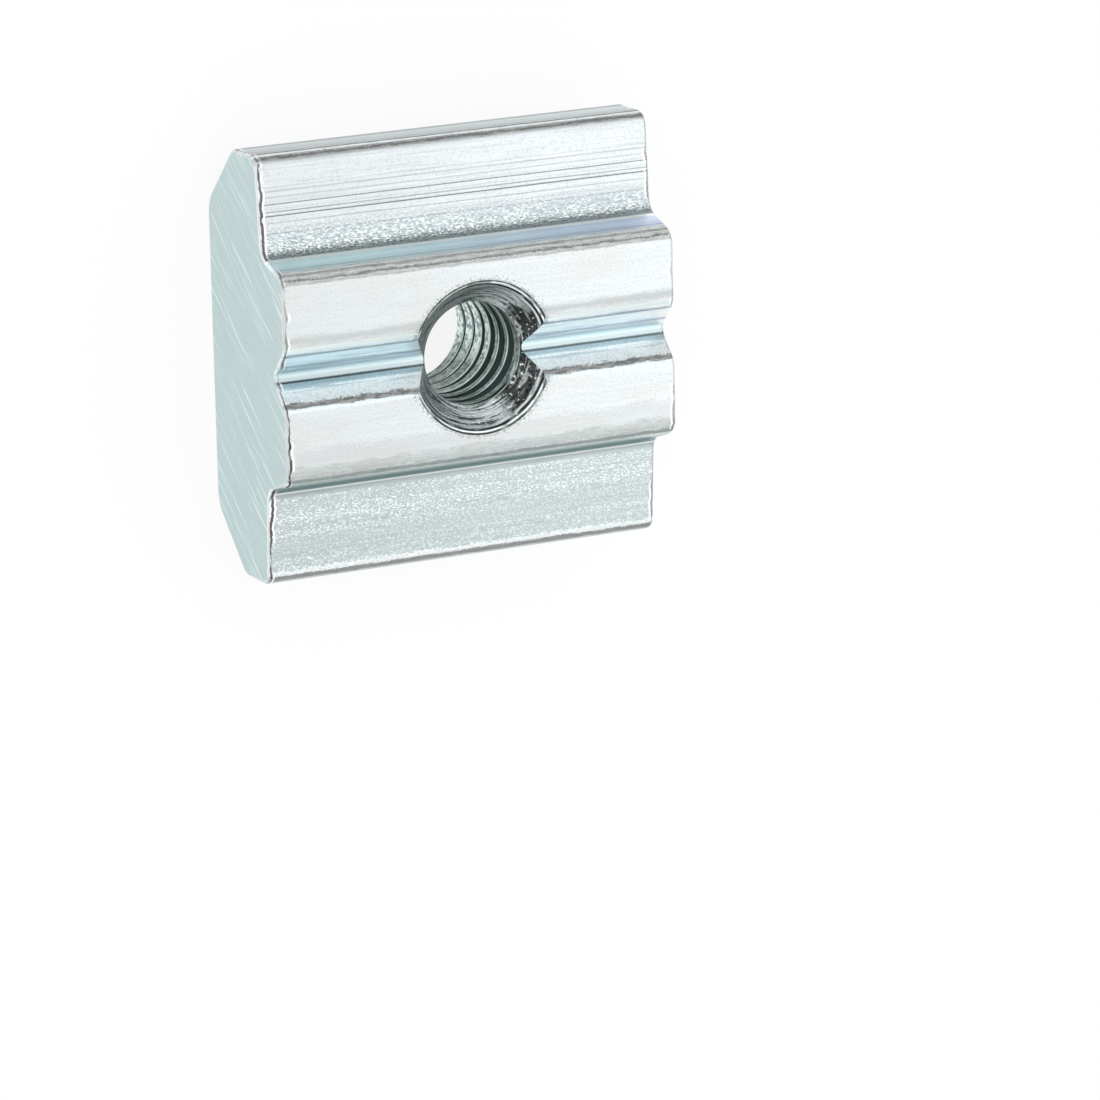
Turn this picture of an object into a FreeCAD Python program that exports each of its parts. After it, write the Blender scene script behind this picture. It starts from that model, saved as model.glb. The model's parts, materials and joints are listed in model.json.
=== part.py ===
import FreeCAD, Part
import math
import os

# A slide-in T-slot nut: a length of cold-drawn steel bar with a T section, sawn to length, drilled and
# tapped from the slot side through to the back, countersunk at both mouths and tumbled.
# Frame: origin at the middle of the flat back, on the thread's axis. X runs along the slot, Y across the
# flange, and Z out of the slot. All sizes are in millimetres and degrees.

# Bar section, drawn to shape
length = 17.0             # along the slot, sawn face to sawn face
width = 17.0              # across the flange
back_chamfer = 2.4        # 45 degree chamfer between the flat back and each side wall, each way
side_height = 2.2         # straight stretch of each side wall
shoulder_rise = 0.25      # each shoulder climbs this much from the side wall to the foot of the boss
boss_height = 1.85        # from the foot of the boss to its face
boss_foot_width = 9.3     # across the boss at its foot
boss_face_width = 8.1     # across the boss at its face
groove_width = 2.3        # V groove along the middle of the boss face
groove_depth = 1.05       # to the sharp bottom of the V, before it is rounded

# Rounding that the drawing die leaves along the bar
back_round = 1.3          # between the flat back and a chamfer
side_round = 0.7          # between a chamfer and its side wall
shoulder_round = 0.6      # outer edge of a shoulder
foot_round = 0.7          # inner corner at the foot of the boss
boss_round = 0.8          # outer edge of the boss face
groove_edge_round = 0.7   # where the boss face turns down into the groove
groove_floor_round = 0.4  # bottom of the groove

# Machining
thread_diameter = 5.0     # nominal size of the coarse thread
thread_pitch = 0.8
front_countersink = 6.1   # mouth diameter at the boss face
back_countersink = 5.2    # mouth diameter at the flat back
front_angle = 90.0        # included angle of the countersink at the boss face
back_angle = 120.0        # included angle of the flatter one at the back
end_round = 0.18          # tumbled edge round each sawn face

# Worked out from the sizes above
thread_minor_radius = (thread_diameter - 1.0825 * thread_pitch) / 2
shoulder_edge_z = back_chamfer + side_height
foot_z = shoulder_edge_z + shoulder_rise
boss_face_z = foot_z + boss_height

X_AXIS = FreeCAD.Vector(1, 0, 0)
Z_AXIS = FreeCAD.Vector(0, 0, 1)


def section_corners():
    """Sharp corners of the bar's section, anticlockwise seen from +X, each with its rounding radius."""
    half = [
        (width / 2 - back_chamfer, 0.0, back_round),
        (width / 2, back_chamfer, side_round),
        (width / 2, shoulder_edge_z, shoulder_round),
        (boss_foot_width / 2, foot_z, foot_round),
        (boss_face_width / 2, boss_face_z, boss_round),
        (groove_width / 2, boss_face_z, groove_edge_round),
    ]
    groove_floor = [(0.0, boss_face_z - groove_depth, groove_floor_round)]
    mirrored = [(-y, z, radius) for y, z, radius in reversed(half)]
    return half + groove_floor + mirrored


def rounded_corner(before, corner, after, radius):
    """Start, middle and end of the arc that rounds a corner; the arc stays within the shorter wall."""
    to_before = (before - corner).normalize()
    to_after = (after - corner).normalize()
    half_angle = to_before.getAngle(to_after) / 2
    shorter_wall = min((before - corner).Length, (after - corner).Length)
    radius = min(radius, 0.48 * shorter_wall * math.tan(half_angle))
    tangent_length = radius / math.tan(half_angle)
    inward = (to_before + to_after).normalize()
    middle = corner + inward * (radius / math.sin(half_angle) - radius)
    return corner + to_before * tangent_length, middle, corner + to_after * tangent_length


def drawn_bar():
    """The bar, from sawn face to sawn face, before it is drilled."""
    corners = section_corners()
    points = [FreeCAD.Vector(-length / 2, y, z) for y, z, radius in corners]
    arcs = []
    for index, (y, z, radius) in enumerate(corners):
        after = points[(index + 1) % len(points)]
        arcs.append(rounded_corner(points[index - 1], points[index], after, radius))
    edges = []
    for index, (start, middle, end) in enumerate(arcs):
        edges.append(Part.Arc(start, middle, end).toShape())
        next_start = arcs[(index + 1) % len(arcs)][0]
        edges.append(Part.LineSegment(end, next_start).toShape())
    section = Part.Face(Part.Wire(edges))
    return section.extrude(X_AXIS * length)


def tumble_ends(bar):
    """Round the outline of both sawn faces, as tumbling does."""
    def is_on_sawn_face(edge):
        return all(abs(abs(vertex.X) - length / 2) < 1e-6 for vertex in edge.Vertexes)

    outline = [edge for edge in bar.Edges if is_on_sawn_face(edge) and edge.BoundBox.XLength < 1e-6]
    return bar.makeFillet(end_round, outline)


def countersink(mouth_diameter, mouth_z, angle, inward):
    """Cutter for one countersink: a cone with its mouth in a face, carried on outside that face."""
    mouth_radius = mouth_diameter / 2
    slope = math.tan(math.radians(angle / 2))
    overrun = boss_height
    wide_radius = mouth_radius + overrun * slope
    start = FreeCAD.Vector(0, 0, mouth_z) - inward * overrun
    return Part.makeCone(wide_radius, 0, wide_radius / slope, start, inward)


def tapped_hole():
    """Cutter for the whole hole: the bore at the thread's crests and the countersink at each mouth."""
    overrun = boss_height
    start = FreeCAD.Vector(0, 0, -overrun)
    bore = Part.makeCylinder(thread_minor_radius, boss_face_z + 2 * overrun, start, Z_AXIS)
    front = countersink(front_countersink, boss_face_z, front_angle, -Z_AXIS)
    back = countersink(back_countersink, 0.0, back_angle, Z_AXIS)
    return bore.fuse([front, back])


nut_body = tumble_ends(drawn_bar()).cut(tapped_hole())
nut_body = nut_body.Solids[0]

os.makedirs("parts", exist_ok=True)
nut_body.exportStep("parts/nut_body.step")
print("nut_body", "valid", nut_body.isValid(), "volume", round(nut_body.Volume, 2), "mm3")
print("box", nut_body.BoundBox)
front_slope = math.tan(math.radians(front_angle / 2))
back_slope = math.tan(math.radians(back_angle / 2))
front_end = boss_face_z - (front_countersink / 2 - thread_minor_radius) / front_slope
back_end = (back_countersink / 2 - thread_minor_radius) / back_slope
print("thread wall from", round(back_end, 4), "to", round(front_end, 4))
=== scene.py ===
import json
import math

import bpy
from mathutils import Matrix, Vector


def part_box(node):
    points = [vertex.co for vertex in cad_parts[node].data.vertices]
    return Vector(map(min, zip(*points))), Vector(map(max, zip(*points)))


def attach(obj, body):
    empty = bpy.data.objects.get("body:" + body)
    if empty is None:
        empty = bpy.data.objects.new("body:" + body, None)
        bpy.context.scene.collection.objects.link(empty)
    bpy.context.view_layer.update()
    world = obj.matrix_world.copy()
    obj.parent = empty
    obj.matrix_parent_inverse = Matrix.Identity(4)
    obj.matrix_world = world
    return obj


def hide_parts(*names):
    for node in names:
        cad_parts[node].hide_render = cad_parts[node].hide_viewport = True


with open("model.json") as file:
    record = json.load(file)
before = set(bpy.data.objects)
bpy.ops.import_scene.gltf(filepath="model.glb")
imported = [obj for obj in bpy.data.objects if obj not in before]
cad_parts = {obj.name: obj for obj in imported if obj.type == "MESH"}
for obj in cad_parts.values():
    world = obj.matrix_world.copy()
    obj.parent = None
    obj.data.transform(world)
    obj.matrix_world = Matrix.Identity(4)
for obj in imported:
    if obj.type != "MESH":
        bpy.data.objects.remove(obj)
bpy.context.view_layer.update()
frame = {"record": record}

# Drawn bar
# The nut is a length of cold-drawn steel bar. The die gives it its T section: a flange with a chamfered
# back, two shoulders that fall slightly outwards, and a boss with a V groove along its middle.
MM = 0.001
low_corner, high_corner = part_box("nut_body")
length, width, height = high_corner - low_corner
back_chamfer = 2.4 * MM
side_height = 2.2 * MM
shoulder_rise = 0.25 * MM
boss_foot = 4.65 * MM      # half the boss's width at its foot
boss_face = 4.05 * MM      # half the boss's width at its face
groove_half = 1.15 * MM
groove_depth = 1.05 * MM
flange_edge_z = back_chamfer + side_height
foot_z = flange_edge_z + shoulder_rise
half_section = [           # y, z and rounding radius of each sharp corner
    (width / 2 - back_chamfer, 0.0, 1.3 * MM),
    (width / 2, back_chamfer, 0.7 * MM),
    (width / 2, flange_edge_z, 0.6 * MM),
    (boss_foot, foot_z, 0.7 * MM),
    (boss_face, height, 0.8 * MM),
    (groove_half, height, 0.7 * MM),
]
groove_floor = [(0.0, height - groove_depth, 0.4 * MM)]
section = half_section + groove_floor + [(-y, z, r) for y, z, r in reversed(half_section)]


class Wire:
    """A socket in a node tree. Arithmetic on it adds Math nodes, and node() adds any other node."""

    def __init__(self, tree, socket=None):
        self.tree = tree
        self.socket = socket

    def node(self, kind, settings=None, sockets=None, output=0):
        """Add a node: its settings first, then a value or a link for each socket that is named."""
        added = self.tree.nodes.new(kind)
        for name, value in (settings or {}).items():
            setattr(added, name, value)
        for name, value in (sockets or {}).items():
            if isinstance(value, Wire):
                self.tree.links.new(value.socket, added.inputs[name])
            else:
                added.inputs[name].default_value = value
        return Wire(self.tree, added.outputs[output] if added.outputs else None)

    def math(self, operation, *values):
        return self.node("ShaderNodeMath", {"operation": operation}, dict(enumerate(values)))

    def __add__(self, other):
        return self.math("ADD", self, other)

    __radd__ = __add__

    def __sub__(self, other):
        return self.math("SUBTRACT", self, other)

    def __rsub__(self, other):
        return self.math("SUBTRACT", other, self)

    def __mul__(self, other):
        return self.math("MULTIPLY", self, other)

    __rmul__ = __mul__

    def __abs__(self):
        return self.math("ABSOLUTE", self)

    def step(self, low, high):
        """Smooth step: 0 below low and 1 above high, or the other way round if low is the larger."""
        sockets = {"Value": self, "From Min": low, "From Max": high}
        if low > high:
            sockets.update({"From Min": high, "From Max": low, "To Min": 1.0, "To Max": 0.0})
        return self.node("ShaderNodeMapRange", {"interpolation_type": "SMOOTHSTEP"}, sockets)

    def axis(self, name):
        """One number of a vector: its X, Y or Z."""
        return self.node("ShaderNodeSeparateXYZ", {}, {0: self}, name)

    def blend(self, without, with_all):
        """Colour that goes from one to the other as this factor goes from 0 to 1."""
        ends = [end if isinstance(end, Wire) else (*end, 1.0) for end in (without, with_all)]
        settings = {"data_type": "RGBA", "clamp_factor": True}
        return self.node("ShaderNodeMix", settings, {0: self, 6: ends[0], 7: ends[1]}, 2)


def geometry_tree(name, sizes):
    """A geometry node tree with a named input for each size. Returns it with its inputs as wires."""
    tree = bpy.data.node_groups.new(name, "GeometryNodeTree")
    tree.interface.new_socket(name="Geometry", in_out="INPUT", socket_type="NodeSocketGeometry")
    tree.interface.new_socket(name="Geometry", in_out="OUTPUT", socket_type="NodeSocketGeometry")
    for size, kind in sizes.items():
        tree.interface.new_socket(name=size, in_out="INPUT", socket_type=kind)
    entry = tree.nodes.new("NodeGroupInput")
    return tree, {socket.name: Wire(tree, socket) for socket in entry.outputs if socket.name}


def end_tree(geometry, material):
    """Close a tree with its two last nodes and its output."""
    real = geometry.node("GeometryNodeRealizeInstances", {}, {0: geometry})
    skinned = geometry.node("GeometryNodeSetMaterial", {}, {0: real, "Material": material})
    geometry.node("NodeGroupOutput", {}, {0: skinned})


def grow(piece, tree, values):
    """Add a tree to a piece as a modifier, each value given by its input's name."""
    modifier = piece.modifiers.new(tree.name, "NODES")
    modifier.node_group = tree
    for item in tree.interface.items_tree:
        if item.in_out == "INPUT" and item.name in values:
            modifier[item.identifier] = values[item.name]


def outline(name, points, rounds=None, closed=True):
    """An object that holds only a line through these points, in its own XY plane."""
    mesh = bpy.data.meshes.new(name)
    edges = [(i, i + 1) for i in range(len(points) - 1)]
    if closed:
        edges.append((len(points) - 1, 0))
    mesh.from_pydata([(a, b, 0.0) for a, b in points], edges, [])
    if rounds:
        mesh.attributes.new("round", "FLOAT", "POINT").data.foreach_set("value", rounds)
    made = bpy.data.objects.new(name, mesh)
    bpy.context.scene.collection.objects.link(made)
    return made


def sweep(path, profile, tilt=math.pi, caps=True):
    """A profile swept along a path: its x points to the path's right (to its left if tilt is 0)."""
    level = path.node("GeometryNodeSetCurveNormal", {"mode": "Z_UP"}, {0: path})
    tilted = path.node("GeometryNodeSetCurveTilt", {}, {0: level, "Tilt": tilt})
    return path.node("GeometryNodeCurveToMesh", {}, {
        0: tilted, "Profile Curve": profile, "Fill Caps": caps})


drawn_zinc = bpy.data.materials.new("drawn_zinc")
bar_tree, sizes = geometry_tree("drawn_bar", {"Length": "NodeSocketFloat", "Arc Points": "NodeSocketInt"})
start = Wire(bar_tree)
line = start.node("GeometryNodeMeshToCurve", {}, {0: sizes["Geometry"]})
rounding = start.node("GeometryNodeInputNamedAttribute", {"data_type": "FLOAT"}, {"Name": "round"})
die = start.node("GeometryNodeFilletCurve", {"mode": "POLY"}, {
    0: line, "Count": sizes["Arc Points"], "Radius": rounding, "Limit Radius": True})
ends = [start.node("ShaderNodeCombineXYZ", {}, {"X": sizes["Length"] * side}) for side in (-0.5, 0.5)]
path = start.node("GeometryNodeCurvePrimitiveLine", {}, {"Start": ends[0], "End": ends[1]})
end_tree(sweep(path, die), drawn_zinc)

nut = outline("nut", [(y, z) for y, z, r in section], [r for y, z, r in section])
arc_points = 10            # on each rounded corner of the section
grow(nut, bar_tree, {"Length": length, "Arc Points": arc_points})

# Tumbled ends
# The bar is sawn into lengths, which leaves sharp edges round both faces. The blanks are then tumbled in a
# drum, and that rounds the edges a little.
end_round = 0.18 * MM
tumbled = nut.modifiers.new("tumbled_ends", "BEVEL")
tumbled.width = end_round
tumbled.segments = 4
tumbled.limit_method = "ANGLE"
tumbled.angle_limit = math.radians(60)
tumbled.use_clamp_overlap = False

# Tapped hole
# One hole goes from the boss to the back, with a countersink at each mouth. The one at the boss leaves two
# lobes, because the groove crosses it. The thread is a coarse right-hand one, cut by a tapered tap that
# stopped before its lead was through, so the turns near the back are shallow.
thread = next(mount for mount in frame["record"]["mounts"] if mount["name"] == "thread")
crest_radius = thread["dims"]["r_mm"] * MM
wall_half = thread["dims"]["length_mm"] * MM / 2
front_start = thread["pos_m"][2] + wall_half
back_start = thread["pos_m"][2] - wall_half
back_angle = math.radians(120)       # included angle of the countersink at the back
back_slope = math.tan(back_angle / 2)
pitch = 0.8 * MM
thread_angle = math.radians(60)      # between the two flanks of a thread
thread_depth = 0.54125 * pitch       # five eighths of the sharp thread's height
root_flat = pitch / 8
crest_ease = 0.03 * MM     # the crests' corners are eased by this much
overrun = 1.0 * MM         # the tools reach this far past the bar
tap_phase = 0.475          # where the thread starts round the hole, in turns
tap_lead = 4.0 * MM        # from the back, the tap's lead left the thread shallow as far as here
lead_length = 2.5 * MM     # the lead's taper is this long
lead_depth = 0.30 * MM     # and takes this much off the thread's depth
runout = 0.3 * MM          # the thread runs out over this length below the countersink
tooth_height = 0.46 * MM   # sunk by this much, the tooth leaves no thread
tooth_overlap = 0.25 * MM  # the tooth starts this far inside the bore, so that both make one tool
mouth_radius = crest_radius + height - front_start
lip_width = 0.17 * MM      # the mouth's edge is rolled over, first steeper and then flatter than the cone
turn_steps = 96            # facets round the hole

tool_profile = [           # radius and height of the bore and both countersinks, from the back to the boss
    (0.0, -overrun),
    (crest_radius + (back_start + overrun) * back_slope, -overrun),
    (crest_radius, back_start),
    (crest_radius, front_start),
    (mouth_radius - lip_width, height - lip_width),
    (mouth_radius - 0.7 * lip_width, height - 0.45 * lip_width),
    (mouth_radius + 0.1 * lip_width, height),
    (mouth_radius + overrun, height + overrun),
    (0.0, height + overrun),
]
flank_slope = math.tan(thread_angle / 2)
crest_half_gap = root_flat / 2 + thread_depth * flank_slope
tooth_profile = [          # radius past the crests, and height, of the tap's tooth
    (-tooth_overlap, crest_half_gap + crest_ease),
    (0.0, crest_half_gap + crest_ease),
    (crest_ease, crest_half_gap - crest_ease * flank_slope),
    (thread_depth, root_flat / 2),
]
tooth_profile += [(r, -z) for r, z in reversed(tooth_profile)]

bored_zinc = bpy.data.materials.new("bored_zinc")
tap_tree, sizes = geometry_tree("tap_and_countersinks", {
    "Tooth": "NodeSocketObject", "Crest Radius": "NodeSocketFloat", "Pitch": "NodeSocketFloat",
    "Turns": "NodeSocketFloat", "Start": "NodeSocketFloat", "Phase": "NodeSocketFloat",
    "Lead": "NodeSocketFloat", "Front": "NodeSocketFloat", "Steps": "NodeSocketInt"})
start = Wire(tap_tree)
lathe_line = start.node("GeometryNodeMeshToCurve", {}, {0: sizes["Geometry"]})
circle = start.node("GeometryNodeCurvePrimitiveCircle", {"mode": "RADIUS"}, {
    "Resolution": sizes["Steps"], "Radius": 0.001 * MM})
turned = sweep(circle, lathe_line, caps=False)
lathe = start.node("GeometryNodeMergeByDistance", {}, {0: turned, "Distance": 0.002 * MM})
helix = start.node("GeometryNodeCurveSpiral", {}, {
    "Resolution": sizes["Steps"], "Rotations": sizes["Turns"], "Start Radius": sizes["Crest Radius"],
    "End Radius": sizes["Crest Radius"], "Height": sizes["Pitch"] * sizes["Turns"], "Reverse": True})
tooth = start.node("GeometryNodeObjectInfo", {}, {"Object": sizes["Tooth"]}, "Geometry")
tooth_line = start.node("GeometryNodeMeshToCurve", {}, {0: tooth})
lift = start.node("ShaderNodeCombineXYZ", {}, {"Z": sizes["Start"]})
turn = start.node("ShaderNodeCombineXYZ", {}, {"Z": sizes["Phase"] * (2 * math.pi)})
ridge = start.node("GeometryNodeTransform", {}, {
    0: sweep(helix, tooth_line, tilt=0.0), "Translation": lift, "Rotation": turn})
place = start.node("GeometryNodeInputPosition")
along = place.axis("Z")
level = start.node("ShaderNodeVectorMath", {"operation": "MULTIPLY"}, {0: place, 1: (1.0, 1.0, 0.0)})
outward = start.node("ShaderNodeVectorMath", {"operation": "NORMALIZE"}, {0: level})
lead = (along - sizes["Lead"]).step(0.0, -lead_length) * lead_depth
closing = (along - sizes["Front"]).step(-runout, 0.0) * tooth_height
sunk = start.node("ShaderNodeVectorMath", {"operation": "SCALE"}, {
    0: outward, "Scale": start.math("MAXIMUM", lead, closing) * -1})
ridge = start.node("GeometryNodeSetPosition", {}, {0: ridge, "Offset": sunk})
union = start.node("GeometryNodeMeshBoolean", {"operation": "UNION", "solver": "EXACT"}, {1: lathe})
tap_tree.links.new(ridge.socket, union.socket.node.inputs[1])
end_tree(union, bored_zinc)

tooth_shape = outline("tap_tooth", tooth_profile)
tool = outline("tap_and_countersinks", tool_profile, closed=False)
turns = math.ceil((height + 2 * overrun) / pitch)
grow(tool, tap_tree, {
    "Tooth": tooth_shape, "Crest Radius": crest_radius, "Pitch": pitch, "Turns": turns,
    "Start": height / 2 - turns * pitch / 2, "Phase": tap_phase, "Lead": tap_lead,
    "Front": front_start, "Steps": turn_steps})
tapped = nut.modifiers.new("tapped_hole", "BOOLEAN")
tapped.operation = "DIFFERENCE"
tapped.solver = "EXACT"
tapped.material_mode = "TRANSFER"
tapped.object = tool


def finish(piece):
    """Turn what a piece's modifiers make into its plain mesh, and remove them."""
    graph = bpy.context.evaluated_depsgraph_get()
    made = bpy.data.meshes.new_from_object(piece.evaluated_get(graph), depsgraph=graph)
    piece.modifiers.clear()
    piece.data = made
    return made


machined = finish(nut)
for used in (tool, tooth_shape):
    bpy.data.objects.remove(used)
for face in machined.polygons:
    face.use_smooth = True
sharp_from = math.radians(28)        # a little less than the edge between the back and its countersink
machined.set_sharp_from_angle(angle=sharp_from)
flats = nut.modifiers.new("flats_stay_flat", "WEIGHTED_NORMAL")
flats.weight = 100
flats.keep_sharp = True
finish(nut)

# Zinc plate
# Last, the nut is plated with bright blue-white zinc. The plate is thin and shows what lies under it: the
# lines that the die drew along the bar, the scratches of the saw, and the edges that rubbed in the drum.
# Its colour also holds painted light and shade: glints and highlights, shade on the lower side and at the
# boss's foot, in the groove and in the hole, and dark reflections along the rounded edges.
WHITE_ZINC = (0.645, 0.680, 0.695)
WARM_ZINC = (0.640, 0.665, 0.660)
# The lower shoulder's grey: a duller finish, darkened further with painted shade
SHADED_GREY_ZINC = (0.446, 0.512, 0.512)
BLUISH_ZINC = (0.53, 0.58, 0.59)
DULL_ZINC = (0.47, 0.53, 0.53)
GRAIN_SHADE = (0.44, 0.47, 0.53)
# Painted highlight: the white of glints and of bright lines on the rounded edges
PAINTED_GLINT = (0.970, 1.000, 1.000)


def noise(place, lumps, detail=2.0, seed=0.0):
    """Noise around 0.5, with so many lumps per millimetre along x, y and z."""
    moved = place.node("ShaderNodeVectorMath", {"operation": "MULTIPLY_ADD"}, {
        0: place, 1: lumps, 2: (seed, 1.7 * seed, 2.3 * seed)})
    return place.node("ShaderNodeTexNoise", {}, {"Vector": moved, "Scale": 1.0, "Detail": detail})


def darker(colour, share):
    """A colour with all of it scaled to this share."""
    return colour.node("ShaderNodeVectorMath", {"operation": "SCALE"}, {0: colour, "Scale": share})


def place_on_nut(material):
    """Clear a material and return its points' place on the nut in millimetres."""
    material.use_nodes = True
    material.node_tree.nodes.clear()
    start = Wire(material.node_tree)
    coordinates = start.node("ShaderNodeTexCoord", {}, {}, "Object")
    return start.node("ShaderNodeVectorMath", {"operation": "SCALE"}, {0: coordinates, "Scale": 1 / MM})


def from_axis(place):
    """The level arrow from the hole's axis to a place, and its length."""
    arrow = place.node("ShaderNodeVectorMath", {"operation": "MULTIPLY"}, {0: place, 1: (1.0, 1.0, 0.0)})
    return arrow, place.node("ShaderNodeVectorMath", {"operation": "LENGTH"}, {0: arrow}, "Value")


def plate(colour, roughness, relief):
    """The metal itself. The relief is in millimetres."""
    normal = colour.node("ShaderNodeBump", {}, {"Strength": 1.0, "Distance": MM, "Height": relief})
    metal = colour.node("ShaderNodeBsdfPrincipled", {}, {
        "Base Color": colour, "Metallic": 1.0, "Roughness": roughness, "Normal": normal})
    colour.node("ShaderNodeOutputMaterial", {}, {0: metal})


place = place_on_nut(drawn_zinc)
x, y, z = (place.axis(name) for name in "XYZ")
side = abs(y)
along_half = abs(x)
half_length = length / 2 / MM
slot_side = z.step(3.50, 3.55)                          # 1 on the half of the nut that faces the slot
# This measure falls steadily from the flange's edge over the shoulder and the boss's flank to its face, so it
# tells these zones apart, and the lines that run along them.
slant = side - z
upper = y.step(-0.03, 0.03)
lower = 1 - upper
right = x.step(-half_length, half_length)               # from 0 at the left end to 1 at the right end
grain = noise(place, (10.0, 11.0, 11.0), 2.0, 1.0)      # the plate's own fine grain
dashes = noise(place, (7.5, 17.0, 17.0), 2.0, 2.0)      # short dents of the drum
cloud = noise(place, (0.30, 0.60, 0.60), 3.0, 3.0)      # slow changes of tone
streak = noise(place, (0.40, 12.0, 12.0), 3.0, 4.0)     # long streaks that the die left


def band(measure, low, high, fuzz=0.15, seed=0.0, soft=0.03):
    """1 where a measure of the section lies between these two, with borders that wander along the bar."""
    wander = measure + (noise(place, (1.3, 5.0, 5.0), 3.0, seed) - 0.5 + (grain - 0.5) * 0.7) * fuzz
    return wander.step(low - soft, low + soft) * wander.step(high + soft, high - soft)


# The zones: 1 on the zone and 0 off it
sawn = along_half.step(half_length - 0.015, half_length - 0.002)
drawn = 1 - sawn
shoulder = slant.step(3.70, 3.60) * slant.step(-0.70, -0.60) * slot_side
flank = slant.step(-0.62, -0.72) * slant.step(-1.95, -1.85) * slot_side
boss = slant.step(-1.85, -1.95) * z.step(6.30, 6.40)
groove = side.step(1.24, 1.16) * z.step(5.0, 5.1)

# Base colour: bluish with bands along it on the sides and the back, white on the boss and the upper
# shoulder, and grey on the lower shoulder: a duller finish, darkened further with painted shade
wall_bands = ((2.46, 2.66, 1.25), (2.70, 2.90, 0.62), (2.96, 3.36, 1.16), (3.75, 4.02, 0.80))
colour = cloud.step(0.35, 0.65).blend(DULL_ZINC, BLUISH_ZINC)
for low, high, share in wall_bands:
    colour = (band(z, low, high, 0.10, low) * slant.step(4.0, 4.2)).blend(colour, darker(colour, share))
colour = (shoulder * upper).blend(colour, WHITE_ZINC)
colour = (shoulder * lower).blend(colour, SHADED_GREY_ZINC)
colour = boss.blend(colour, cloud.step(0.4, 0.6).blend(WHITE_ZINC, WARM_ZINC))
colour = (band(y, -3.50, -2.70, 0.6, 21.0, 0.2) * boss).blend(colour, darker(colour, 0.90))
colour = darker(colour, right * 0.15 + 1)
along_lines = 1 - boss * 0.65
colour = (grain.step(0.52, 0.34) * (0.34 - boss * 0.06)).blend(colour, GRAIN_SHADE)
colour = (streak.step(0.50, 0.34) * along_lines * 0.32).blend(colour, darker(colour, 0.70))
colour = (streak.step(0.58, 0.70) * along_lines * 0.40).blend(colour, darker(colour, 1.30))

# Lines that the die drew along the upper shoulder: where, how wide and how dark each one is
die_lines = (
    (7.27, 0.03, 0.16), (7.11, 0.05, 0.26), (6.87, 0.05, 0.24), (6.70, 0.03, 0.12), (6.61, 0.04, 0.62),
    (6.43, 0.03, 0.16), (6.31, 0.04, 0.48), (6.145, 0.045, 0.74), (5.88, 0.035, 0.36), (5.65, 0.03, 0.20),
    (5.47, 0.04, 0.55))
lines = None
for line_y, line_width, depth in die_lines:
    wander = (noise(place, (0.10, 0.0, 0.0), 1.0, line_y) - 0.5) * 0.06
    there = abs(y - (wander + line_y)).step(line_width, 0.0)
    there = there * (noise(place, (0.8, 0.1, 0.1), 3.0, line_y + 9) + 0.32).step(0.35, 0.65) * (depth * 1.25)
    lines = there if lines is None else place.math("MAXIMUM", lines, there)
lines = lines * shoulder
colour = lines.blend(colour, darker(colour, 0.12))

# Towards the foot of the boss the upper shoulder is darker, which is painted shade, and set with dark
# dents and short painted glints
FOOT_SHADE_SOFT = (0.50, 0.57, 0.59)
FOOT_SHADE = (0.31, 0.36, 0.37)
inner = slant.step(1.15, 0.35) * shoulder * upper
colour = (inner * 0.8).blend(colour, FOOT_SHADE_SOFT)
colour = (slant.step(0.10, -0.40) * shoulder * upper).blend(colour, FOOT_SHADE)
coarse = slant.step(1.50, -0.30) * shoulder * upper * (1 - right * 0.25)
colour = (dashes.step(0.50, 0.38) * coarse * 0.85).blend(colour, darker(colour, 0.42))
colour = (dashes.step(0.54, 0.64) * coarse * slant.step(-0.50, -0.20) * 1.1).blend(colour, PAINTED_GLINT)

# Painted glints in rows on the lower shoulder, and a painted highlight near its outer edge
rows = (noise(place, (0.03, 2.6, 0.1), 1.0, 7.0) - 0.5) * 0.45
rows = band(slant, 0.60, 1.30, 0.3, 22.0, 0.2) * 0.05 + rows
painted_glints = (noise(place, (9.5, 24.0, 24.0), 1.5, 5.0) + rows).step(0.60, 0.73) + grain.step(0.50, 0.66) * 0.32
colour = (painted_glints * shoulder * lower * slant.step(0.1, 0.3)).blend(colour, PAINTED_GLINT)
colour = (band(slant, 3.30, 3.55, 0.3, 23.0) * lower * slot_side * 0.5).blend(colour, PAINTED_GLINT)

# Flanks of the boss: turquoise at one end and violet at the other, teal on the lower side. That teal is
# painted shadow under the boss's lower edge, and the white line at each foot is a painted highlight
TURQUOISE = (0.77, 1.00, 1.00)
VIOLET = (0.70, 0.80, 0.98)
DEEP_SHADOW_TEAL = (0.25, 0.36, 0.36)
PALE_SHADOW_TEAL = (0.40, 0.52, 0.52)
tinted = right.blend(TURQUOISE, VIOLET)
tinted = slant.step(-1.25, -1.62).blend(tinted, darker(tinted, 0.86))
tinted = band(slant, -1.82, -1.64, 0.10, 24.0).blend(tinted, darker(tinted, 0.78))
tinted = (streak.step(0.50, 0.36) * 0.5).blend(tinted, darker(tinted, 0.78))
# Painted shadow under the boss's lower edge, on the lower flank
shadow_teal = slant.step(-0.60, -2.10).blend(DEEP_SHADOW_TEAL, PALE_SHADOW_TEAL)
colour = (flank * upper).blend(colour, tinted)
colour = (slant.step(-0.24, -0.30) * slant.step(-2.15, -2.05) * slot_side * lower).blend(colour, shadow_teal)
colour = (band(slant, -0.90, -0.69, 0.02, 25.0) * upper * slot_side).blend(colour, PAINTED_GLINT)
colour = (band(slant, -0.26, -0.12, 0.02, 26.0) * lower * slot_side * 0.9).blend(colour, PAINTED_GLINT)

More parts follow.
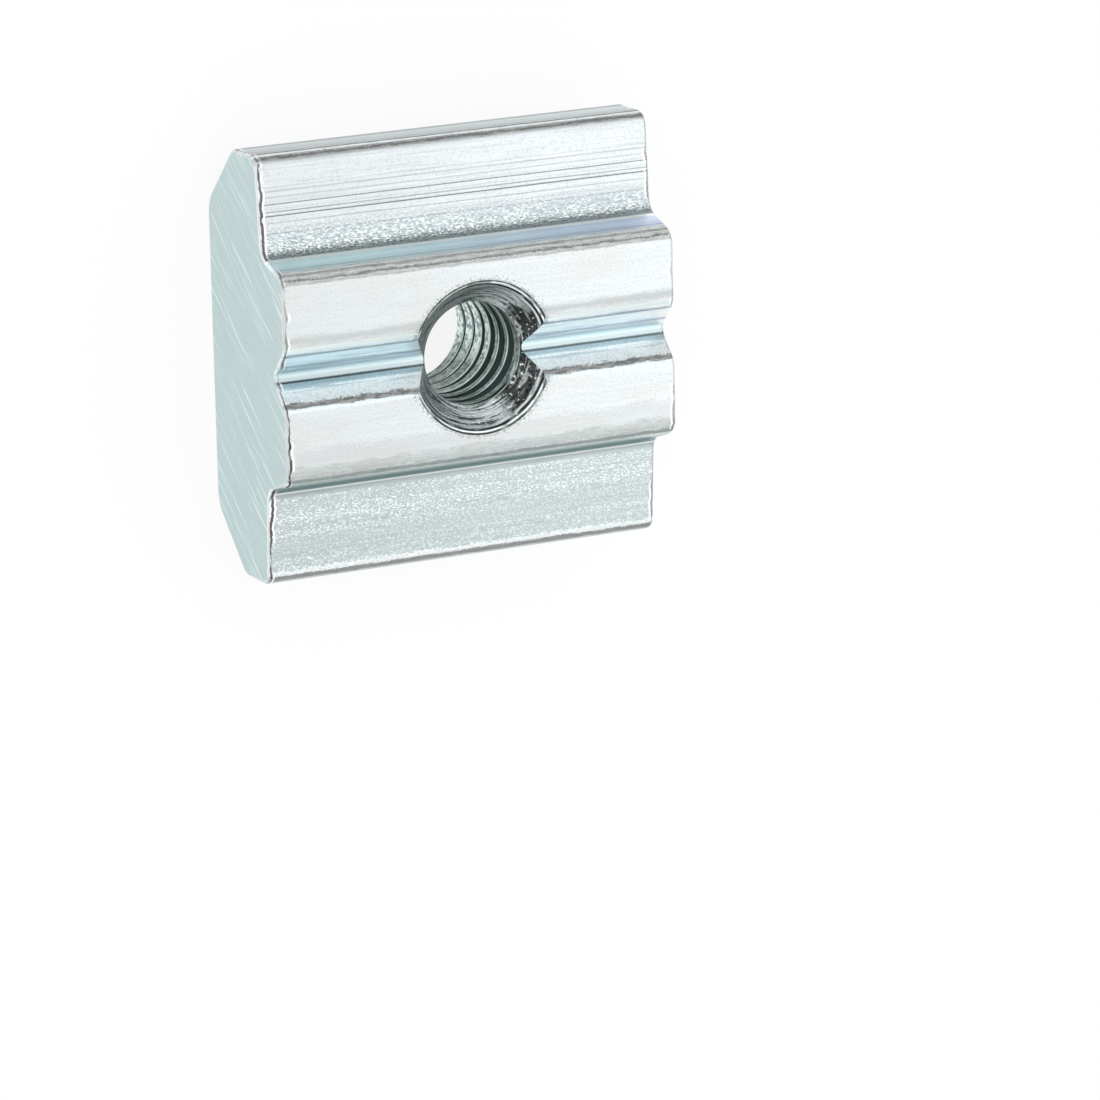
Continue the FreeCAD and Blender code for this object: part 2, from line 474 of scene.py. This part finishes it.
# Groove: light blue above its floor, pale below, with darker lines along it and along both of its edges.
# Near its floor the blue shade and the dark line are painted shade in the crease; on the rounded edge the
# pale line is a painted highlight and the darker lines beside it are painted dark reflections
SKY_BLUE = (0.76, 0.92, 0.99)
LILAC = (0.80, 0.86, 0.96)
FLOOR_BLUE = (0.62, 0.76, 0.79)
FLOOR_GREY = (0.48, 0.55, 0.56)
BLUE_SHADE = (0.33, 0.44, 0.48)
PALE_BLUE = (0.78, 0.87, 0.89)
STREAK_BLUE = (0.36, 0.47, 0.53)
FLOOR_SHADE_LINE = (0.050, 0.065, 0.070)
FLOOR_SHADE_LINE_RIGHT = (0.12, 0.15, 0.16)
EDGE_SHADE = (0.46, 0.49, 0.48)
EDGE_HIGHLIGHT = (0.68, 0.77, 0.75)
EDGE_BLUE_SHADE = (0.40, 0.51, 0.54)
# Worn colours of the rounded edges, darkened further as painted dark reflections
RUBBED_AND_SHADED = (0.340, 0.350, 0.340)
RUBBED_DARK_AND_SHADED = (0.19, 0.20, 0.20)
above = right.blend(SKY_BLUE, LILAC)
above = band(y, 0.42, 0.54, 0.16, 31.0).blend(above, darker(above, 0.66))
above = (streak.step(0.52, 0.40) * y.step(0.25, 0.35) * 0.7).blend(above, darker(above, 0.70))
above = y.step(0.30, 0.20).blend(above, FLOOR_BLUE)
above = y.step(0.06, -0.02).blend(above, FLOOR_GREY)
below = y.step(-0.32, -0.42).blend(BLUE_SHADE, PALE_BLUE)
below = (streak.step(0.52, 0.42) * y.step(-0.60, -0.50) * 0.6).blend(below, STREAK_BLUE)
below = (grain.step(0.54, 0.40) * 0.45).blend(below, darker(below, 0.70))
both = y.step(-0.10, -0.13).blend(above, below)
both = darker(both, right * 0.22 * y.step(-0.45, -0.35) + 1)
# Painted shade: a dark line near the groove's floor
both = band(y, -0.22, -0.14, 0.02, 32.0).blend(both, right.blend(FLOOR_SHADE_LINE, FLOOR_SHADE_LINE_RIGHT))
colour = groove.blend(colour, both)
# Painted dark reflections and a painted highlight on the groove's rounded edges
colour = (band(y, 1.42, 1.74, 0.30, 33.0, 0.14) * boss * (grain + 0.3)).blend(colour, EDGE_SHADE)
colour = (band(y, 1.16, 1.32, 0.08, 34.0) * boss).blend(colour, EDGE_HIGHLIGHT)
colour = (band(y, 0.96, 1.05, 0.08, 35.0) * groove).blend(colour, EDGE_BLUE_SHADE)
# The groove's lower edge: a speckled worn line, which is also painted dark reflection
specks = noise(place, (2.5, 12.0, 12.0), 3.0, 11.0).step(0.56, 0.42)
speckled = specks.blend(RUBBED_AND_SHADED, RUBBED_DARK_AND_SHADED)
colour = (band(y, -1.08, -0.88, 0.24, 36.0) * z.step(5.0, 5.1)).blend(colour, speckled)

# Edges that rubbed: pale and brownish lines along the boss's and the flange's rounded edges. The rubbing
# shows in their specks and rougher finish; the pale lines are painted highlights and the brownish and dark
# ones also painted dark reflections. Each has its two borders, how ragged they are, how strong the line is,
# its half of the nut and its colour
PALE_EDGE_HIGHLIGHT = (0.740, 0.780, 0.770)
RUBBED_GREY_AND_SHADED = (0.56, 0.59, 0.58)
RUBBED_BROWN_AND_SHADED = (0.27, 0.27, 0.26)
RUBBED_TEAL_AND_SHADED = (0.36, 0.43, 0.41)
RUBBED_SOFT_AND_SHADED = (0.50, 0.54, 0.52)
RUBBED_OUTER_AND_SHADED = (0.42, 0.43, 0.42)
edge_wear_and_sheen_lines = (
    (-2.90, -1.92, 0.20, 0.8, upper, RUBBED_GREY_AND_SHADED),
    (-2.12, -1.98, 0.20, 0.9, upper, PALE_EDGE_HIGHLIGHT),
    (-2.28, -2.19, 0.24, 0.9, upper, RUBBED_AND_SHADED),
    (-2.46, -2.37, 0.24, 0.9, upper, PALE_EDGE_HIGHLIGHT),
    (-2.68, -2.56, 0.30, 0.9, upper, RUBBED_BROWN_AND_SHADED),
    (-2.84, -2.78, 0.30, 0.5, upper, RUBBED_AND_SHADED),
    (-2.72, -2.40, 0.24, 0.9, lower, RUBBED_TEAL_AND_SHADED),
    (-3.30, -2.80, 0.50, 0.6, lower, RUBBED_SOFT_AND_SHADED),
    (4.29, 4.40, 0.16, 0.9, upper, RUBBED_DARK_AND_SHADED),
    (4.14, 4.26, 0.04, 0.9, upper, PAINTED_GLINT),
    (3.76, 4.10, 0.24, 0.9, upper, RUBBED_OUTER_AND_SHADED),
    (3.86, 4.00, 0.30, 0.8, upper, RUBBED_DARK_AND_SHADED),
    (3.56, 3.92, 0.30, 0.9, lower, RUBBED_AND_SHADED))
edge_wear_and_sheen = None
for low, high, fuzz, strength, half, tint in edge_wear_and_sheen_lines:
    there = band(slant, low, high, fuzz, low + 50) * half * slot_side * drawn * strength
    colour = there.blend(colour, tint)
    edge_wear_and_sheen = there if edge_wear_and_sheen is None else place.math("MAXIMUM", edge_wear_and_sheen, there)
colour = (specks * edge_wear_and_sheen * 0.35).blend(colour, darker(colour, 0.5))

# Round the hole's mouth the boss is nicked
NICK = (0.24, 0.26, 0.26)
mouth = mouth_radius / MM
radius = from_axis(place)[1]
nicks = (radius + (grain - 0.5) * 0.9).step(mouth + 0.12, mouth + 0.02)
colour = (nicks * z.step(6.50, 6.62) * 0.55).blend(colour, NICK)

# Sawn ends: long fine scratches, and at their edge a bright line with a dark ragged burr beside it. The
# bright line on the tumbled round and the pale line inside the burr are painted highlights
TEAL_ZINC = (0.566, 0.690, 0.695)
SCRATCH = (0.82, 0.94, 0.94)
BURR = (0.095, 0.088, 0.080)
saw_passes = ((1.0, 0.0), (2.0, 0.06), (3.0, -0.05))    # seed and slope of each set of scratches
saw_angle = math.radians(39.1)
turned_y = y * math.cos(saw_angle) + z * math.sin(saw_angle)
turned_z = z * math.cos(saw_angle) - y * math.sin(saw_angle)
scratches = None
for seed, tilt in saw_passes:
    lay = place.node("ShaderNodeCombineXYZ", {}, {"X": turned_y + turned_z * tilt, "Y": turned_z})
    scratch = noise(lay, (9.0, 0.22, 0.0), 2.0, seed).step(0.62, 0.72)
    scratches = scratch if scratches is None else place.math("MAXIMUM", scratches, scratch)
colour = sawn.blend(colour, TEAL_ZINC)
colour = (scratches * sawn * (cloud + 0.3)).blend(colour, SCRATCH)
colour = (grain.step(0.5, 0.3) * sawn * 0.25).blend(colour, darker(colour, 0.80))
ragged_end = along_half + (noise(place, (0.0, 1.6, 1.6), 4.0, 6.0) - 0.5) * 0.34
left_end = x.step(0.5, -0.5)
# Painted highlight on the tumbled round of each end
edge_highlight = along_half.step(half_length - 0.08, half_length - 0.04) * drawn
# How dark the burr is: darkest at the left end, on the boss and on the shoulders
held = shoulder * (0.85 - upper * 0.05) + z.step(6.0, 6.2) * (0.95 - upper * 0.50) + groove * 0.2
held = (held + 0.1) * (0.5 + left_end * 0.5)
patchy = noise(place, (1.5, 1.1, 1.1), 3.0, 8.0)
thin = patchy.step(0.62, 0.42) * 0.07
burr = (ragged_end - thin).step(half_length - 0.21, half_length - 0.18)
burr = burr * ragged_end.step(half_length - 0.06, half_length - 0.10) * (1 - edge_highlight) * drawn
# Painted highlight: a broken pale line inside the burr
inner_highlight_line = ragged_end.step(half_length - 0.29, half_length - 0.26) * (1 - burr) * (1 - edge_highlight) * drawn
colour = (inner_highlight_line * patchy.step(0.48, 0.58) * 0.9).blend(colour, PAINTED_GLINT)
colour = (burr * (patchy + left_end * 0.12).step(0.42, 0.58) * held).blend(colour, BURR)
colour = (edge_highlight * (shoulder * 0.4 + 0.5)).blend(colour, PAINTED_GLINT)

relief = grain * 0.009 + dashes * coarse * 0.010 + streak * 0.004
roughness = 0.26 + cloud * 0.10 + edge_wear_and_sheen * 0.14 + sawn * 0.08
plate(colour, roughness, relief)

# The hole's plate is painted pale on its near side and dark on its far side, as light and shade: rings of
# tool chatter and chips in the countersinks, a rolled rim with bright and dark lines, and a thread with
# bright crests and dark roots. The bright rings, chips, rim lines and crest corners are painted highlights,
# the dark rings and rim lines painted dark reflections, and the roots and the crests on the shaded side
# painted shade.
CONE_LIT = (0.72, 0.80, 0.79)
CONE_SHADE = (0.068, 0.075, 0.075)
HOLE_HIGHLIGHT = (0.95, 1.0, 1.0)
HOLE_DARK_REFLECTION = (0.040, 0.050, 0.050)
CHIP_DARK = (0.015, 0.018, 0.018)
LIP_SHADE = (0.28, 0.32, 0.32)
CREST_DARK = (0.24, 0.34, 0.32)
CREST_BRIGHT = (0.86, 0.98, 0.95)
CORNER_HIGHLIGHT = (0.80, 0.95, 0.92)
ROOT_SHADE = (0.030, 0.046, 0.043)
rim_lines = (              # how far inside the mouth, how wide, seed and colour
    (0.01, 0.08, 4.0, HOLE_DARK_REFLECTION), (0.09, 0.05, 5.0, HOLE_HIGHLIGHT),
    (0.16, 0.05, 6.0, HOLE_DARK_REFLECTION), (0.24, 0.05, 7.0, HOLE_HIGHLIGHT))
crest = crest_radius / MM
place = place_on_nut(bored_zinc)
arrow, radius = from_axis(place)
heading = place.node("ShaderNodeVectorMath", {"operation": "NORMALIZE"}, {0: arrow})
z = place.axis("Z")
ring_place = place.node("ShaderNodeVectorMath", {"operation": "MULTIPLY_ADD"}, {
    0: heading, 1: (2.0, 2.0, 0.0), 2: place.node("ShaderNodeCombineXYZ", {}, {"Z": radius})})
cone = (z - front_start / MM).step(0.0, 0.04)
back_cone = (z - back_start / MM).step(0.0, -0.03)
chatter = noise(ring_place, (1.0, 1.0, 13.0), 3.0, 1.0)
mottle = noise(place, (3.5, 3.5, 3.5), 3.0, 2.0)
# Painted shade: the countersinks pale on their near side and dark on their far side
far_side_shade = (heading.axis("X") - heading.axis("Y") * 0.12 + (mottle - 0.5) * 0.3).step(0.44, 0.72)
colour = far_side_shade.blend(CONE_LIT, CONE_SHADE)
colour = (chatter.step(0.53, 0.60) * (0.85 - far_side_shade * 0.45)).blend(colour, HOLE_HIGHLIGHT)
colour = (chatter.step(0.47, 0.40) * 0.85).blend(colour, HOLE_DARK_REFLECTION)
chips = noise(place, (7.0, 7.0, 7.0), 2.0, 3.0)
colour = (chips.step(0.42, 0.36) * (far_side_shade * 0.6 + 0.3)).blend(colour, CHIP_DARK)
colour = (chips.step(0.62, 0.68) * 0.8).blend(colour, HOLE_HIGHLIGHT)
# Painted dark reflection on the rolled lip
lip = radius.step(mouth - 0.16, mouth - 0.12) * cone
colour = (lip * 0.7).blend(colour, LIP_SHADE)
for inset, width, seed, tint in rim_lines:
    roll = (noise(ring_place, (1.5, 1.5, 1.0), 3.0, seed) - 0.5) * 0.10
    rim = abs(radius + roll - (mouth - inset)).step(width, 0.01) * cone
    broken = noise(ring_place, (1.6, 1.6, 0.5), 2.0, seed + 3).step(0.40, 0.52)
    colour = (rim * broken).blend(colour, tint)
crests = radius.step(crest + 0.06, crest + 0.01)
crest_colour = (mottle + chips * 0.8 - 0.4).step(0.36, 0.60).blend(CREST_DARK, CREST_BRIGHT)
shaded = place.math("MAXIMUM", z.step(2.4, 4.4), heading.axis("Y").step(-0.15, -0.75))
crest_colour = shaded.blend(crest_colour, darker(crest_colour, 0.34))
thread_colour = crests.blend(ROOT_SHADE, crest_colour)
corner = abs(radius - (crest + 0.03)).step(0.035, 0.01)
thread_colour = (corner * 0.7).blend(thread_colour, CORNER_HIGHLIGHT)
colour = place.math("MAXIMUM", cone, back_cone).blend(thread_colour, colour)
relief = chatter * 0.03 + mottle * 0.010
plate(colour, 0.30 + mottle * 0.10, relief)

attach(nut, "root")
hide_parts("nut_body")

# Floor
# A plain white table top. The part lies on it on its flat back. Only its upper side shows, so that the part
# can be looked at from below.
TABLE_WHITE = (0.94, 0.94, 0.94, 1.0)
FULL_WHITE = (1.0, 1.0, 1.0, 1.0)
floor_reach = 2.0
floor_z = -0.01 * MM       # a hair below the back, so that the two faces don't share a plane
floor_corners = [(x * floor_reach, y * floor_reach, floor_z) for x, y in ((-1, -1), (1, -1), (1, 1), (-1, 1))]
floor_mesh = bpy.data.meshes.new("floor")
floor_mesh.from_pydata(floor_corners, [], [(0, 1, 2, 3)])
floor = bpy.data.objects.new("floor", floor_mesh)
bpy.context.scene.collection.objects.link(floor)


def seen_directly(start):
    """1 for rays from the camera and for reflections, 0 for the light that falls on things."""
    camera_ray = start.node("ShaderNodeLightPath", {}, {}, "Is Camera Ray")
    glossy_ray = start.node("ShaderNodeLightPath", {}, {}, "Is Glossy Ray")
    return camera_ray.math("MAXIMUM", camera_ray, glossy_ray)


glow_share = 0.88          # how much of the white that the camera sees is the table's own glow
table_white = bpy.data.materials.new("table_white")
table_white.use_nodes = True
table_white.node_tree.nodes.clear()
start = Wire(table_white.node_tree)
matt = start.node("ShaderNodeBsdfDiffuse", {}, {"Color": TABLE_WHITE})
glow = start.node("ShaderNodeEmission", {}, {"Color": FULL_WHITE, "Strength": 1.0})
table = start.node("ShaderNodeMixShader", {}, {0: seen_directly(start) * glow_share, 1: matt, 2: glow})
clear = start.node("ShaderNodeBsdfTransparent")
from_below = start.node("ShaderNodeNewGeometry", {}, {}, "Backfacing")
shown = start.node("ShaderNodeMixShader", {}, {0: from_below, 1: table, 2: clear})
start.node("ShaderNodeOutputMaterial", {}, {0: shown})
floor.data.materials.append(table_white)

# Light
# A pale room, darker towards the horizon, and one large soft lamp over the slot side. The camera itself sees
# the room as white.
horizon_brightness = 0.60
overhead_brightness = 1.15
studio = bpy.data.worlds.new("studio")
bpy.context.scene.world = studio
studio.use_nodes = True
studio.node_tree.nodes.clear()
start = Wire(studio.node_tree)
bearing = start.node("ShaderNodeTexCoord", {}, {}, "Generated")
overhead = bearing.axis("Z").step(0.15, 0.50) * (overhead_brightness - horizon_brightness)
camera_ray = start.node("ShaderNodeLightPath", {}, {}, "Is Camera Ray")
brightness = start.math("MAXIMUM", camera_ray, overhead + horizon_brightness)
room = start.node("ShaderNodeBackground", {}, {0: FULL_WHITE, 1: brightness})
start.node("ShaderNodeOutputWorld", {}, {0: room})


def soft_lamp(name, place, size, brightness):
    """A square lamp that faces the part; brightness is how white it shows in a mirror."""
    lamp = bpy.data.lights.new(name, "AREA")
    lamp.size = size
    lamp.energy = brightness * math.pi * size * size
    holder = bpy.data.objects.new(name, lamp)
    holder.location = place
    holder.rotation_mode = "QUATERNION"
    holder.rotation_quaternion = Vector(place).to_track_quat("Z", "Y")
    bpy.context.scene.collection.objects.link(holder)


soft_lamp("over_the_boss", place=(0.27, 0.09, 0.54), size=0.6, brightness=0.20)

# Camera
# A long lens that looks down on the slot side from above the left end. Its place, direction and focal length
# were fitted to the nut's outlines in the photograph.
photo_width = 1100         # in pixels, as the focal length is
focal_length = 6882.9
camera_data = bpy.data.cameras.new("camera")
camera_data.sensor_width = 36.0
camera_data.lens = focal_length / photo_width * camera_data.sensor_width
camera_data.clip_start = 0.01
camera = bpy.data.objects.new("camera", camera_data)
bpy.context.scene.collection.objects.link(camera)
camera_place = (-0.116578, 0.058463, 0.240242)
look = Vector((0.44097, -0.24593, -0.86317)).normalized()
up = Vector((0.13136, 0.96906, -0.20899))
right = look.cross(up).normalized()
up = right.cross(look)
turned = Matrix((right, up, -look)).transposed()
camera.matrix_world = Matrix.Translation(camera_place) @ turned.to_4x4()
bpy.context.scene.camera = camera
bpy.context.scene.view_settings.view_transform = "Standard"
